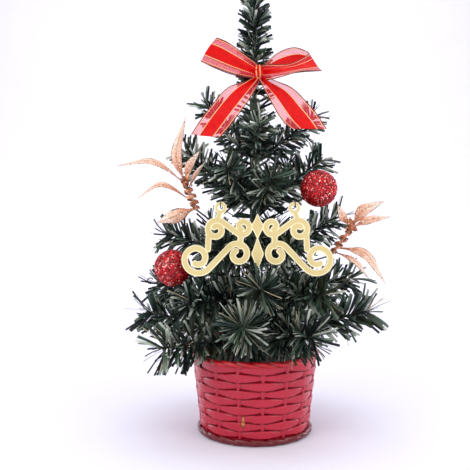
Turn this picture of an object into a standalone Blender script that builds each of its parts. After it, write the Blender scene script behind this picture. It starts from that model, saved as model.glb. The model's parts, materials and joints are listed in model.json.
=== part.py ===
"""Artificial tabletop tree: a woven-look plastic pot filled with cement, a taped wire trunk with bendable
needle branches, and its decorations: a ribbon bow, two glitter balls on wire picks, two sprays of
glitter leaves and a swinging scrollwork plaque. Metres, +Z up. The origin is the middle of the pot's
flat underside, and the front of the tree faces -Y."""

import math

import bmesh
import bpy
from mathutils import Matrix, Vector

MM = 0.001
GAP = 0.3 * MM  # air between touching pieces

# Driving dimensions
TREE_HEIGHT = 243 * MM
POT_HEIGHT = 44 * MM
POT_LIP_RADIUS = 35.9 * MM
POT_FOOT_RADIUS = 31.8 * MM
POT_WALL = 1.5 * MM
TRUNK_RADIUS = 1.2 * MM
WRAP_RADIUS = 2.8 * MM
WRAP_TOP = 184 * MM
BRANCH_WIRE_RADIUS = 0.9 * MM
PICK_WIRE_RADIUS = 0.45 * MM
BALL_RADIUS = 9.5 * MM
BOW_HEIGHT = 196 * MM
RIBBON_WIDTH = 15 * MM
PLAQUE_FRONT = 44 * MM
EYELET_HEIGHT = 121.2 * MM
EYELET_SPREAD = 18 * MM

# Sizes that follow from them
LIP_HEIGHT = 2.8 * MM
WALL_TOP_RADIUS = POT_LIP_RADIUS - 1.1 * MM
WALL_FOOT_RADIUS = POT_FOOT_RADIUS - 1.4 * MM
FLOOR_THICKNESS = 2 * MM
CEMENT_TOP = POT_HEIGHT - 8 * MM
TRUNK_FOOT = 9 * MM
TRUNK_TOP = TREE_HEIGHT - 8 * MM
TRUNK_BORE = TRUNK_RADIUS + GAP
ROOT_RADIUS = WRAP_RADIUS + 1.4 * MM  # where the stems come free of the tape
POT_STEPS = 36
BRUSH_STEPS = 8

# Each ring of branches: its height on the trunk, the half height of its needle brushes, and its
# branches. A branch has a compass direction in degrees from the front, positive to the right, a length
# in millimetres, and a rise above the horizon in degrees.
BRANCH_RINGS = {
    "bottom": (52 * MM, 5.6 * MM, {
        "left": (-92, 61, 13),
        "front_left": (-50, 60, 0),
        "front": (-8, 60, 14),
        "front_right": (29, 53, 8),
        "right": (88, 63, 13),
        "back_right": (133, 60, 8),
        "back": (179, 60, 9),
        "back_left": (-135, 60, 8),
    }),
    "lower": (72 * MM, 5.4 * MM, {
        "left": (-98, 54, 9),
        "front_left": (-53, 43, 2),
        "front": (2, 52, 12),
        "front_right": (41, 50, 8),
        "right": (98, 56, 12),
        "back_right": (148, 54, 14),
        "back_left": (-150, 54, 14),
    }),
    "middle": (95 * MM, 5.2 * MM, {
        "left": (-90, 50, 17),
        "front_left": (-30, 40, 10),
        "front_right": (30, 40, 10),
        "right": (102, 52, 27),
        "back_right": (160, 48, 24),
        "back_left": (-144, 48, 24),
    }),
    "upper": (124 * MM, 4.8 * MM, {
        "left": (-98, 50, 42),
        "front_left": (-30, 37, 35),
        "front": (14, 35, 24),
        "right": (86, 44, 38),
        "back_right": (142, 44, 40),
        "back_left": (-160, 44, 40),
    }),
    "top": (151 * MM, 4.2 * MM, {
        "left": (-122, 47, 50),
        "front": (4, 27, 38),
        "right": (112, 44, 38),
        "back": (178, 38, 50),
    }),
}
BRUSH_SPREAD = 1.25  # a brush is this much wider than it is high

# Each ball: its direction in degrees, its distance from the trunk, its height, and its pick's height
BALLS = {
    "left": (-60, 50 * MM, 91 * MM, 84 * MM),
    "right": (52, 41 * MM, 132 * MM, 114 * MM),
}

GREEN = (0.035, 0.085, 0.05)
WIRE_GREEN = (0.05, 0.07, 0.045)
TAPE_GREEN = (0.045, 0.075, 0.035)
RED_PLASTIC = (0.62, 0.035, 0.07)
RED_RIBBON = (0.8, 0.02, 0.025)
RED_GLITTER = (0.55, 0.01, 0.02)
CEMENT = (0.5, 0.48, 0.45)
PALE_GOLD = (0.86, 0.74, 0.45)
ROSE_GOLD = (0.8, 0.5, 0.34)


def new_collection(name):
    collection = bpy.data.collections.new(name)
    bpy.context.scene.collection.children.link(collection)
    return collection


def principled(name, colour, roughness, metallic=0.0):
    material = bpy.data.materials.new(name)
    material.use_nodes = True
    shader = material.node_tree.nodes["Principled BSDF"]
    shader.inputs["Base Color"].default_value = (*colour, 1)
    shader.inputs["Roughness"].default_value = roughness
    shader.inputs["Metallic"].default_value = metallic
    return material


for old_object in list(bpy.data.objects):
    bpy.data.objects.remove(old_object)
TREE = new_collection("tabletop_tree")
CUTTERS = new_collection("cutters")
CUTTERS.hide_render = True
MATERIALS = {
    "needles": principled("needles", GREEN, 0.55),
    "wire": principled("wire", WIRE_GREEN, 0.5, 0.4),
    "tape": principled("tape", TAPE_GREEN, 0.6),
    "pot": principled("pot", RED_PLASTIC, 0.35),
    "cement": principled("cement", CEMENT, 0.9),
    "ribbon": principled("ribbon", RED_RIBBON, 0.4),
    "glitter": principled("glitter", RED_GLITTER, 0.3, 0.3),
    "plaque": principled("plaque", PALE_GOLD, 0.3, 0.8),
    "leaf": principled("leaf", ROSE_GOLD, 0.35, 0.7),
}


def compass(degrees):
    """Unit direction at a compass angle from the front, positive to the right."""
    angle = math.radians(degrees)
    return Vector((math.sin(angle), -math.cos(angle), 0))


def add_object(name, data, slot, parent=None):
    obj = bpy.data.objects.new(name, data)
    TREE.objects.link(obj)
    data.materials.clear()
    data.materials.append(MATERIALS[slot])
    obj.parent = parent
    return obj


def add_pivot(name, matrix):
    """An empty on a joint's axis, which carries the pieces that move together."""
    pivot = bpy.data.objects.new(name, None)
    TREE.objects.link(pivot)
    pivot.matrix_world = matrix
    return pivot


def stem_pivot(name, height, direction, rise):
    """A pivot on the trunk's surface. Its Z runs along the stem, and its X is the bending axis."""
    outward = compass(direction)
    up = Vector((0, 0, 1))
    along = outward * math.cos(rise) + up * math.sin(rise)
    sideways = up.cross(outward)
    matrix = Matrix((sideways, along.cross(sideways), along)).transposed().to_4x4()
    matrix.translation = outward * ROOT_RADIUS + up * height
    return add_pivot(name, matrix)


def turned(name, profile, slot, steps, parent=None):
    """A solid turned about its Z axis. The profile of (radius, height) runs down its outer side."""
    mesh = bpy.data.meshes.new(name)
    bm = bmesh.new()
    points = [bm.verts.new((radius, 0, height)) for radius, height in profile]
    for first, second in zip(points, points[1:]):
        bm.edges.new((first, second))
    if profile[0][0] > 0:
        bm.edges.new((points[-1], points[0]))
    bm.to_mesh(mesh)
    bm.free()
    obj = add_object(name, mesh, slot, parent)
    screw = obj.modifiers.new("turn", "SCREW")
    screw.steps = screw.render_steps = steps
    screw.use_merge_vertices = True
    screw.merge_threshold = 0.00001
    return obj


def wire(name, points, radius, slot, parent=None, resolution=1):
    """A round wire with filled ends along a list of points."""
    curve = bpy.data.curves.new(name, "CURVE")
    curve.dimensions = "3D"
    curve.bevel_depth = radius
    curve.bevel_resolution = resolution
    curve.use_fill_caps = True
    spline = curve.splines.new("POLY")
    spline.points.add(len(points) - 1)
    for spline_point, point in zip(spline.points, points):
        spline_point.co = (*point, 1)
    return add_object(name, curve, slot, parent)


def smooth_route(controls, count):
    """Evenly timed points on a Catmull-Rom curve through the controls."""
    points = [Vector(control) * MM for control in controls]
    points = [2 * points[0] - points[1], *points, 2 * points[-1] - points[-2]]
    spans = len(points) - 3
    route = []
    for step in range(count + 1):
        position = step / count * spans
        span = min(int(position), spans - 1)
        t = position - span
        a, b, c, d = points[span : span + 4]
        route.append(
            0.5 * (2 * b + (c - a) * t + (2 * a - 5 * b + 4 * c - d) * t**2
                   + (3 * b - a - 3 * c + d) * t**3)
        )
    return route


def strip(name, route, across, widths, thickness, slot):
    """A thin band along a route, with its width's direction and size at each point."""
    mesh = bpy.data.meshes.new(name)
    bm = bmesh.new()
    rows = len(route) - 1
    bmesh.ops.create_grid(bm, x_segments=1, y_segments=rows, size=0.5)
    for vert in bm.verts:
        row = round((vert.co.y + 0.5) * rows)
        vert.co = route[row] + across[row].normalized() * vert.co.x * widths[row]
    bm.to_mesh(mesh)
    bm.free()
    obj = add_object(name, mesh, slot)
    thick = obj.modifiers.new("thickness", "SOLIDIFY")
    thick.thickness = thickness
    thick.offset = 0
    return obj


def blend_values(values, count):
    """Numbers or vectors spaced along a route, in count + 1 even steps."""
    spans = len(values) - 1
    result = []
    for step in range(count + 1):
        position = step / count * spans
        index = min(int(position), spans - 1)
        t = position - index
        result.append(values[index] * (1 - t) + values[index + 1] * t)
    return result


def baked(obj):
    """The object's evaluated mesh at its place in the world, with the caps of a curve welded on."""
    bpy.context.view_layer.update()
    evaluated = obj.evaluated_get(bpy.context.evaluated_depsgraph_get())
    mesh = bpy.data.meshes.new_from_object(evaluated)
    mesh.transform(obj.matrix_world)
    bm = bmesh.new()
    bm.from_mesh(mesh)
    bmesh.ops.remove_doubles(bm, verts=bm.verts, dist=0.00001)
    bm.to_mesh(mesh)
    bm.free()
    bpy.data.objects.remove(obj)
    return mesh


def fused(name, pieces, slot, pivot=None):
    """One solid from overlapping pieces, by a Boolean union of each with the first."""
    meshes = [baked(piece) for piece in pieces]
    if pivot:
        for mesh in meshes:
            mesh.transform(pivot.matrix_world.inverted())
    base = add_object(name, meshes[0], slot, pivot)
    for number, mesh in enumerate(meshes[1:]):
        helper = bpy.data.objects.new(f"{name}_joined_{number}", mesh)
        CUTTERS.objects.link(helper)
        helper.parent = pivot
        helper.hide_render = True
        helper.display_type = "WIRE"
        union = base.modifiers.new(f"join_{number}", "BOOLEAN")
        union.operation = "UNION"
        union.object = helper
    return base


def build_pot():
    """A truncated cone with a rope lip and a rope foot, and the cement cast in it."""
    foot = POT_FOOT_RADIUS
    lip = POT_LIP_RADIUS
    inner_top = WALL_TOP_RADIUS - POT_WALL
    inner_foot = WALL_FOOT_RADIUS - POT_WALL
    turned("pot_shell", [
        (0, FLOOR_THICKNESS),
        (inner_foot, FLOOR_THICKNESS),
        (inner_top, POT_HEIGHT),
        (lip - 0.5 * MM, POT_HEIGHT),
        (lip, POT_HEIGHT - 0.6 * MM),
        (lip, POT_HEIGHT - LIP_HEIGHT + 0.4 * MM),
        (WALL_TOP_RADIUS, POT_HEIGHT - LIP_HEIGHT),
        (WALL_FOOT_RADIUS, 4.4 * MM),
        (foot - 0.3 * MM, 3.8 * MM),
        (foot, 2.2 * MM),
        (foot - 0.6 * MM, 0.5 * MM),
        (foot - 1.3 * MM, 0),
        (0, 0),
    ], "pot", POT_STEPS)
    slope = (inner_top - inner_foot) / (POT_HEIGHT - FLOOR_THICKNESS)
    fit = 2 * GAP
    plug_foot = FLOOR_THICKNESS + GAP
    turned("cement_plug", [
        (0, TRUNK_FOOT - GAP),
        (TRUNK_BORE, TRUNK_FOOT - GAP),
        (TRUNK_BORE, CEMENT_TOP),
        (inner_foot + slope * (CEMENT_TOP - FLOOR_THICKNESS) - fit, CEMENT_TOP),
        (inner_foot - fit, plug_foot),
        (0, plug_foot),
    ], "cement", POT_STEPS)


def build_trunk():
    """The trunk wire, the tape wound round it where the branches are bound on, and the leader."""
    wire("trunk_wire", [(0, 0, TRUNK_FOOT), (0, 0, TRUNK_TOP)], TRUNK_RADIUS, "wire", resolution=2)
    turned("trunk_wrap", [
        (TRUNK_BORE, WRAP_TOP),
        (WRAP_RADIUS, WRAP_TOP),
        (WRAP_RADIUS, CEMENT_TOP + GAP),
        (TRUNK_BORE, CEMENT_TOP + GAP),
    ], "tape", 16)
    waist = 3.3 * MM
    turned("leader_needles", [
        (0, TREE_HEIGHT),
        (5 * MM, TREE_HEIGHT - 1 * MM),
        (8 * MM, TREE_HEIGHT - 10 * MM),
        (7.6 * MM, TREE_HEIGHT - 24 * MM),
        (6 * MM, BOW_HEIGHT + 11 * MM),
        (waist, BOW_HEIGHT + 5 * MM),
        (waist, BOW_HEIGHT - 5 * MM),
        (4.2 * MM, WRAP_TOP + GAP),
        (TRUNK_BORE, WRAP_TOP + GAP),
        (TRUNK_BORE, TRUNK_TOP + GAP),
        (0, TRUNK_TOP + GAP),
    ], "needles", 12)


def build_branch(name, height, half_height, direction, length, rise):
    """A needle brush locked in its twisted wire, whose bare end is bound to the trunk."""
    pivot = stem_pivot(f"{name}_pivot", height, direction, math.radians(rise))
    bare = 4 * MM
    brush = turned(name, [
        (0, length),
        (0.55 * half_height, 0.97 * length),
        (0.9 * half_height, 0.84 * length),
        (half_height, 0.65 * length),
        (0.8 * half_height, 0.4 * length),
        (0.4 * half_height, 0.2 * length),
        (BRANCH_WIRE_RADIUS, bare),
        (BRANCH_WIRE_RADIUS, 0),
        (0, 0),
    ], "needles", BRUSH_STEPS, pivot)
    brush.scale = (BRUSH_SPREAD, 1, 1)


def build_branches():
    for ring, (height, half_height, branches) in BRANCH_RINGS.items():
        for side, (direction, length, rise) in branches.items():
            build_branch(f"{ring}_branch_{side}", height, half_height, direction, length * MM, rise)


def build_ball(side, direction, distance, height, root_height):
    """A foam ball coated with glitter, on a straight wire pick that is glued into it."""
    reach = distance - ROOT_RADIUS
    rise = math.atan2(height - root_height, reach)
    centre = math.hypot(reach, height - root_height)
    pivot = stem_pivot(f"ball_{side}_pivot", root_height, direction, rise)
    bore = PICK_WIRE_RADIUS + GAP
    bore_end = centre - 3 * MM
    start = math.asin(bore / BALL_RADIUS)
    arcs = 11
    profile = []
    for step in range(arcs + 1):
        angle = (math.pi - start) * step / arcs
        profile.append((BALL_RADIUS * math.sin(angle), centre + BALL_RADIUS * math.cos(angle)))
    profile += [(bore, bore_end), (0, bore_end)]
    turned(f"ball_{side}", profile, "glitter", 16, pivot)
    wire(f"ball_{side}_pick", [(0, 0, 0), (0, 0, bore_end - GAP)], PICK_WIRE_RADIUS, "wire", pivot)


KNOT = Vector((2, -10, 196))  # the middle of the bow's knot, in millimetres
KNOT_SIZE = (7, 6, 8.6)


def build_bow():
    """A wired ribbon bow: two loops, two tails, the knot, and the wire that ties it to the trunk."""
    steps = 18
    ribbon_thickness = 0.6 * MM
    pinched = 0.55 * RIBBON_WIDTH
    shapes = {
        "bow_loop_left": (
            [(-1.9, -12.2, 196.8), (-10, -14, 200.6), (-19, -14, 205), (-25.6, -12.2, 208.2),
             (-19, -9.8, 205.6), (-10, -8.8, 201.2), (-1.9, -8.6, 197.2)],
            [(0, 0, 1), (0.3, 0, 1), (0.5, 0, 1), (0.67, 0, 1), (0.5, 0, 1), (0.3, 0, 1), (0, 0, 1)],
            [pinched, 0.85 * RIBBON_WIDTH, RIBBON_WIDTH, RIBBON_WIDTH, RIBBON_WIDTH,
             0.85 * RIBBON_WIDTH, pinched],
        ),
        "bow_loop_right": (
            [(5.9, -12.2, 195.8), (13, -15, 195.6), (23.5, -16.6, 197.4), (32, -13.2, 200.8),
             (24.5, -9.4, 203.4), (14, -8.8, 201.4), (5.9, -8.6, 196.6)],
            [(0, 0, 1), (0.05, 0.25, 1), (-0.25, 0.5, 1), (-0.55, 0.3, 1), (-0.5, -0.1, 1), (-0.3, 0, 1),
             (0, 0, 1)],
            [pinched, 0.7 * RIBBON_WIDTH, 0.9 * RIBBON_WIDTH, 0.8 * RIBBON_WIDTH, RIBBON_WIDTH,
             0.8 * RIBBON_WIDTH, pinched],
        ),
        "bow_tail_left": (
            [(-0.5, -11.5, 191.3), (-9, -16, 183.4), (-18, -22, 171), (-26, -26.5, 159)],
            [(1, 0, 0), (1, 0, -0.5), (1, 0, -0.3), (1, 0, -0.1)],
            [0.4 * RIBBON_WIDTH, 0.9 * RIBBON_WIDTH, RIBBON_WIDTH, RIBBON_WIDTH],
        ),
        "bow_tail_right": (
            [(5.6, -11.5, 191.3), (13, -16, 183.6), (20, -22, 173), (27, -27, 162.5)],
            [(1, 0, 0), (1, 0, 0.5), (1, 0, 0.4), (1, 0, 0)],
            [0.4 * RIBBON_WIDTH, 0.9 * RIBBON_WIDTH, 1.1 * RIBBON_WIDTH, 1.2 * RIBBON_WIDTH],
        ),
    }
    for name, (controls, across, widths) in shapes.items():
        directions = blend_values([Vector(direction) for direction in across], steps)
        strip(name, smooth_route(controls, steps), directions, blend_values(widths, steps),
              ribbon_thickness, "ribbon")
    mesh = bpy.data.meshes.new("bow_knot")
    bm = bmesh.new()
    bmesh.ops.create_cube(bm, size=1, matrix=Matrix.Diagonal((*KNOT_SIZE, 1)) * MM)
    bm.to_mesh(mesh)
    bm.free()
    knot = add_object("bow_knot", mesh, "ribbon")
    knot.location = KNOT * MM
    rounding = knot.modifiers.new("rounding", "BEVEL")
    rounding.width = 1.4 * MM
    rounding.segments = 2
    tie_radius = 4.1
    opening = math.radians(20)
    ring = []
    for step in range(17):
        angle = opening + (2 * math.pi - 2 * opening) * step / 16
        ring.append((tie_radius * math.sin(angle), -tie_radius * math.cos(angle), BOW_HEIGHT / MM))
    front = -6.6
    ends = [(ring[0][0], front, ring[0][2]), (ring[-1][0], front, ring[-1][2])]
    route = [Vector(point) * MM for point in [ends[0], *ring, ends[1]]]
    wire("bow_tie_wire", route, 0.35 * MM, "wire")


def volute(centre, outer, inner, start, sweep, steps):
    """Points on a spiral from its outer end inwards, in the plaque's plane, in millimetres."""
    points = []
    for step in range(steps + 1):
        t = step / steps
        angle = math.radians(start + sweep * t)
        radius = outer + (inner - outer) * t
        points.append((centre[0] + radius * math.cos(angle), centre[1] + radius * math.sin(angle)))
    return points


def s_scroll(outer_centre, outer_radius, inner_centre, inner_radius, turn):
    """Two volutes that curl opposite ways, joined by the straight line that touches both."""
    gap = Vector(inner_centre) - Vector(outer_centre)
    lean = 90 - math.degrees(math.asin((outer_radius + inner_radius) / gap.length))
    meeting = math.degrees(math.atan2(gap.y, gap.x)) + turn * lean
    outer = volute(outer_centre, outer_radius, 0.35 * outer_radius, meeting, turn * 430, 15)
    inner = volute(inner_centre, inner_radius, 0.36 * inner_radius, meeting + 180, turn * 370, 12)
    return outer[::-1] + inner


def build_plaque():
    """Two rows of mirrored scrolls with a pair of eyelets, hung on the line through the eyelets."""
    bar = 1.45 * MM
    flat = 0.5  # a bar's thickness over its width
    eyelet_top = EYELET_HEIGHT / MM
    lower = s_scroll((29.5, 96.5), 7.6, (9.5, 98.5), 5.6, 1)
    upper = s_scroll((20.2, 110.5), 4.9, (7.2, 112), 4, -1)
    collars = [[(8.4, 102.5), (8.2, 109)], [(24.2, 101), (23.8, 108)], [(19.6, 115), (18.4, 118.9)]]
    drops = [(91, 106.5), (106.2, 118)]
    pieces = []

    def add_bar(points, radius=bar):
        route = [(x * MM, 0, (z - eyelet_top) * MM) for x, z in points]
        piece = wire("bar", route, radius, "plaque")
        piece.scale = (1, flat * (1 + 0.03 * len(pieces)), 1)
        pieces.append(piece)

    for low, high in drops:
        middle = (low + high) / 2
        profile = [(0, high), (1.6, middle + 3.4), (2.9, middle), (1.6, middle - 3.4), (0, low)]
        local = [(radius * MM, (height - eyelet_top) * MM) for radius, height in profile]
        drop = turned("drop", local, "plaque", 8)
        drop.scale = (1, 0.45 + 0.1 * len(pieces), 1)
        pieces.append(drop)
    for side in (1, -1):
        for points in [lower, upper, *collars]:
            add_bar([(side * x, z) for x, z in points])
        ring_steps = 14
        bpy.ops.mesh.primitive_torus_add(
            major_segments=ring_steps, minor_segments=6, major_radius=2.1 * MM, minor_radius=0.8 * MM,
            rotation=(math.pi / 2, 0, 0), location=(side * EYELET_SPREAD, 0, 0))
        pieces.append(bpy.context.object)
    pivot = add_pivot("plaque_pivot", Matrix.Translation((0, -PLAQUE_FRONT, EYELET_HEIGHT)))
    plaque = fused("plaque", pieces, "plaque")
    for obj in [plaque, *[modifier.object for modifier in plaque.modifiers]]:
        obj.parent = pivot


def build_plaque_ties():
    """A thin wire from the trunk through each eyelet and back over its top."""
    hook = 3.8
    front = PLAQUE_FRONT / MM
    top = EYELET_HEIGHT / MM
    for side, sign in {"left": -1, "right": 1}.items():
        x = sign * EYELET_SPREAD / MM
        route = [(sign * 1.3, -3.3, 113), (0.5 * x, -21, 116.5), (0.9 * x, -36, 120.3),
                 (x, -40, top), (x, -front - hook, top)]
        for step in range(1, 9):
            angle = math.radians(20 * step)
            route.append((x, -front - hook * math.cos(angle), top + hook * math.sin(angle)))
        wire(f"plaque_tie_{side}", [Vector(point) * MM for point in route], 0.25 * MM, "wire")


# Each spray: the direction and height of its root, then, in millimetres, its wire's route, the hub where
# its moulded twig ends, and its leaves. A leaf has its place along the twig from 0 to 1, its middle, its
# tip and its greatest width.
SPRAYS = {
    "left": (-60, 109, [(-20, -12, 113.5), (-31, -18.6, 121)], (-37, -20, 135), [
        (1, (-42, -20, 150), (-37, -20, 170), 5),
        (1, (-35, -22, 144), (-29.5, -24, 151.5), 4.2),
        (1, (-54, -21, 146.5), (-73.5, -22, 144), 4.6),
        (0.3, (-49, -22, 134.5), (-62, -23, 127), 3.6),
        (0.1, (-41.5, -24, 118), (-51, -26, 114.5), 7),
        (0.8, (-31.5, -23, 139.5), (-26.5, -25, 146), 2.6),
    ]),
    "right": (68, 88, [(20, -9, 91), (40, -15.5, 97)], (51, -17, 112), [
        (1, (57, -17, 121), (68, -18, 126), 6.4),
        (1, (60, -18, 116), (71, -19, 117.5), 4.2),
        (1, (46, -19, 118), (43, -20, 123.5), 5),
        (0.3, (58, -19, 98), (68.7, -19, 82), 5.6),
        (0.15, (52, -20, 94.5), (59, -22, 85.2), 3.4),
    ]),
}
LEAF_OUTLINE = (0.2, 0.26, 0.8, 1, 0.82, 0.45, 0.16)  # widths from root to tip, over the greatest width
HUB_RADIUS = 1.9 * MM
TWIG_RADIUS = 0.8 * MM


def build_spray(side, direction, root_height, wire_route, hub, leaves):
    """A wire pick with a moulded twig of willow leaves on its end."""
    root = compass(direction) * ROOT_RADIUS / MM + Vector((0, 0, root_height))
    pivot = add_pivot(f"spray_{side}_pivot", Matrix.Translation(root * MM))
    collar = Vector(wire_route[-1])
    hub = Vector(hub)
    local = smooth_route([root, *wire_route], 14)
    wire(f"spray_{side}_wire", [point - root * MM for point in local], PICK_WIRE_RADIUS, "wire", pivot)
    foot = collar + (hub - collar).normalized() * 0.8
    mesh = bpy.data.meshes.new("hub")
    bm = bmesh.new()
    bmesh.ops.create_icosphere(bm, subdivisions=2, radius=HUB_RADIUS, matrix=Matrix.Translation(hub * MM))
    bm.to_mesh(mesh)
    bm.free()
    pieces = [add_object("hub", mesh, "leaf")]
    pieces.append(wire("twig", smooth_route([foot, (foot + hub) / 2, hub], 3), TWIG_RADIUS, "leaf"))
    for number, (place, middle, tip, width) in enumerate(leaves):
        start = foot.lerp(hub, place)
        middle, tip = Vector(middle), Vector(tip)
        across = (tip - start).normalized().cross(Vector((0.15 * number, -1, 0.2)))
        widths = [share * width * MM for share in blend_values(LEAF_OUTLINE, 8)]
        pieces.append(strip("leaf", smooth_route([start, middle, tip], 8), [across] * 9, widths,
                            (0.9 + 0.05 * number) * MM, "leaf"))
    fused(f"spray_{side}_leaves", pieces, "leaf", pivot)


build_pot()
build_trunk()
build_branches()
for ball_side, ball in BALLS.items():
    build_ball(ball_side, *ball)
build_bow()
build_plaque()
build_plaque_ties()
for spray_side, spray in SPRAYS.items():
    build_spray(spray_side, *spray)
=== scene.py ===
# %% [markdown]
# # A tabletop tree, finished around its working model
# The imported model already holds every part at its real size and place, with the joints that bend its
# branches. What is left is how each part looks: needles, weave, ribbon, glitter and gilding.
# Every piece here is made where its part already is, and then told which part it moves with.

# %% Load the working model
import json
import math

import bmesh
import bpy
import numpy as np
from mathutils import Matrix, Vector
from mathutils.bvhtree import BVHTree


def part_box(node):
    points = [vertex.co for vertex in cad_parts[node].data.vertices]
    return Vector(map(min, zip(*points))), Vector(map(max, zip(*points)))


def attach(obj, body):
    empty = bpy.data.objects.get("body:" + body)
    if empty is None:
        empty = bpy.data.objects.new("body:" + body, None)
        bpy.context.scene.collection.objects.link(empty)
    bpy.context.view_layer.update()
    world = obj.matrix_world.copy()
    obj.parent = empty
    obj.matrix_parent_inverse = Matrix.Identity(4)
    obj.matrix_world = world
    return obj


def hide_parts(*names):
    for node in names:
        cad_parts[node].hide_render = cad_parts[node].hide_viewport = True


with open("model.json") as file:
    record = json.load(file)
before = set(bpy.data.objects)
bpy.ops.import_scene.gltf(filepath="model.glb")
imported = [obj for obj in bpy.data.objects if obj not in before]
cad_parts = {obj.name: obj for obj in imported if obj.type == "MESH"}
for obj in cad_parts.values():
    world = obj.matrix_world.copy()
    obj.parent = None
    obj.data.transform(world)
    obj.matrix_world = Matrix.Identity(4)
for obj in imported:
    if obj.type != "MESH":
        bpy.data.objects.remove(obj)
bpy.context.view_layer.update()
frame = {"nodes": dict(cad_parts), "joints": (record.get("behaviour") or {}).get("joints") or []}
MM = 0.001
UP = Vector((0, 0, 1))

# %% [markdown]
# ## Camera, floor and light
# The tree is seen from the front, level with the middle of its branches, with a short portrait lens.
# A pale floor that curves up behind it keeps the background plain. Large soft lights in front and above
# light the needles, two smaller ones behind graze the sides of the glossy pot, and one lights the wall.

# %% Set up the view
CAMERA_PLACE = Vector((-11, -336, 108)) * MM
camera_data = bpy.data.cameras.new("camera")
camera_data.lens = 46
camera_data.sensor_width = 36
camera_data.clip_start = 0.01
camera = bpy.data.objects.new("camera", camera_data)
camera.location = CAMERA_PLACE
camera.rotation_euler = (math.radians(90), 0, 0)
bpy.context.scene.collection.objects.link(camera)
bpy.context.scene.camera = camera


def link(name, mesh):
    obj = bpy.data.objects.new(name, mesh)
    bpy.context.scene.collection.objects.link(obj)
    return obj


def mesh_from(bm, name):
    mesh = bpy.data.meshes.new(name)
    bm.to_mesh(mesh)
    bm.free()
    return mesh


def finished(bm, name, smooth=True):
    mesh = mesh_from(bm, name)
    if smooth:
        mesh.shade_smooth()
    return link(name, mesh)


def soft_light(name, place, target, size, watts):
    data = bpy.data.lights.new(name, "AREA")
    data.shape = "DISK"
    data.size = size
    data.energy = watts
    light = link(name, data)
    light.location = place
    light.rotation_euler = (Vector(target) - Vector(place)).to_track_quat("-Z", "Y").to_euler()
    light.visible_camera = False


middle = (0, 0, 0.11)
soft_light("light_left", (-0.75, -0.75, 0.55), middle, 0.6, 2.8)
soft_light("light_right", (0.8, -0.55, 0.45), middle, 0.6, 2.2)
soft_light("light_top", (0, -0.15, 1.0), middle, 0.8, 2.4)
soft_light("rim_left", (-0.9, 0.45, 0.2), middle, 0.4, 1.6)
soft_light("rim_right", (0.9, 0.45, 0.2), middle, 0.4, 1.6)
soft_light("backdrop_light", (0, 0.9, 1.2), (0, 2.4, 0.6), 1.5, 12)
world = bpy.data.worlds.new("studio")
world.use_nodes = True
sky = world.node_tree.nodes["Background"]
sky.inputs["Color"].default_value = (0.965, 0.97, 1, 1)
sky.inputs["Strength"].default_value = 1
bpy.context.scene.world = world
bpy.context.scene.view_settings.view_transform = "Standard"

# %% The floor and its wall
FLOOR_HALF = 1.5
FLOOR_STRETCH = 8
FRONT_RUN = 8
COVE_STEPS = 8
COVE_STEP = 0.2
WALL_RISE = 3
floor_bm = bmesh.new()
bmesh.ops.create_grid(floor_bm, x_segments=1, y_segments=1, size=FLOOR_HALF)
bmesh.ops.scale(floor_bm, verts=floor_bm.verts, vec=(FLOOR_STRETCH, 1, 1))
front_verts = [vert for vert in floor_bm.verts if vert.co.y < 0]
bmesh.ops.translate(floor_bm, verts=front_verts, vec=(0, -FRONT_RUN, 0))
back_edge = [edge for edge in floor_bm.edges if all(vert.co.y > 1 for vert in edge.verts)]
for step in range(COVE_STEPS + 1):
    grown = bmesh.ops.extrude_edge_only(floor_bm, edges=back_edge)["geom"]
    back_verts = [item for item in grown if isinstance(item, bmesh.types.BMVert)]
    back_edge = [item for item in grown if isinstance(item, bmesh.types.BMEdge)]
    back_edge = [edge for edge in back_edge if all(vert in back_verts for vert in edge.verts)]
    angle = min(math.pi / 2 / COVE_STEPS * (step + 0.5), math.pi / 2)
    rise = COVE_STEP if step < COVE_STEPS else WALL_RISE
    bmesh.ops.translate(floor_bm, verts=back_verts, vec=(0, rise * math.cos(angle), rise * math.sin(angle)))
floor = finished(floor_bm, "floor")

# %% [markdown]
# ## Writing shader maths as plain expressions
# A procedural material is arithmetic on positions and noises. Wiring that by hand takes many lines, so
# one small class wraps a socket: adding or multiplying two of them adds the Math node that does it.
# Its node method makes any other node, links its inputs and gives back the output that is asked for.

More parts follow.
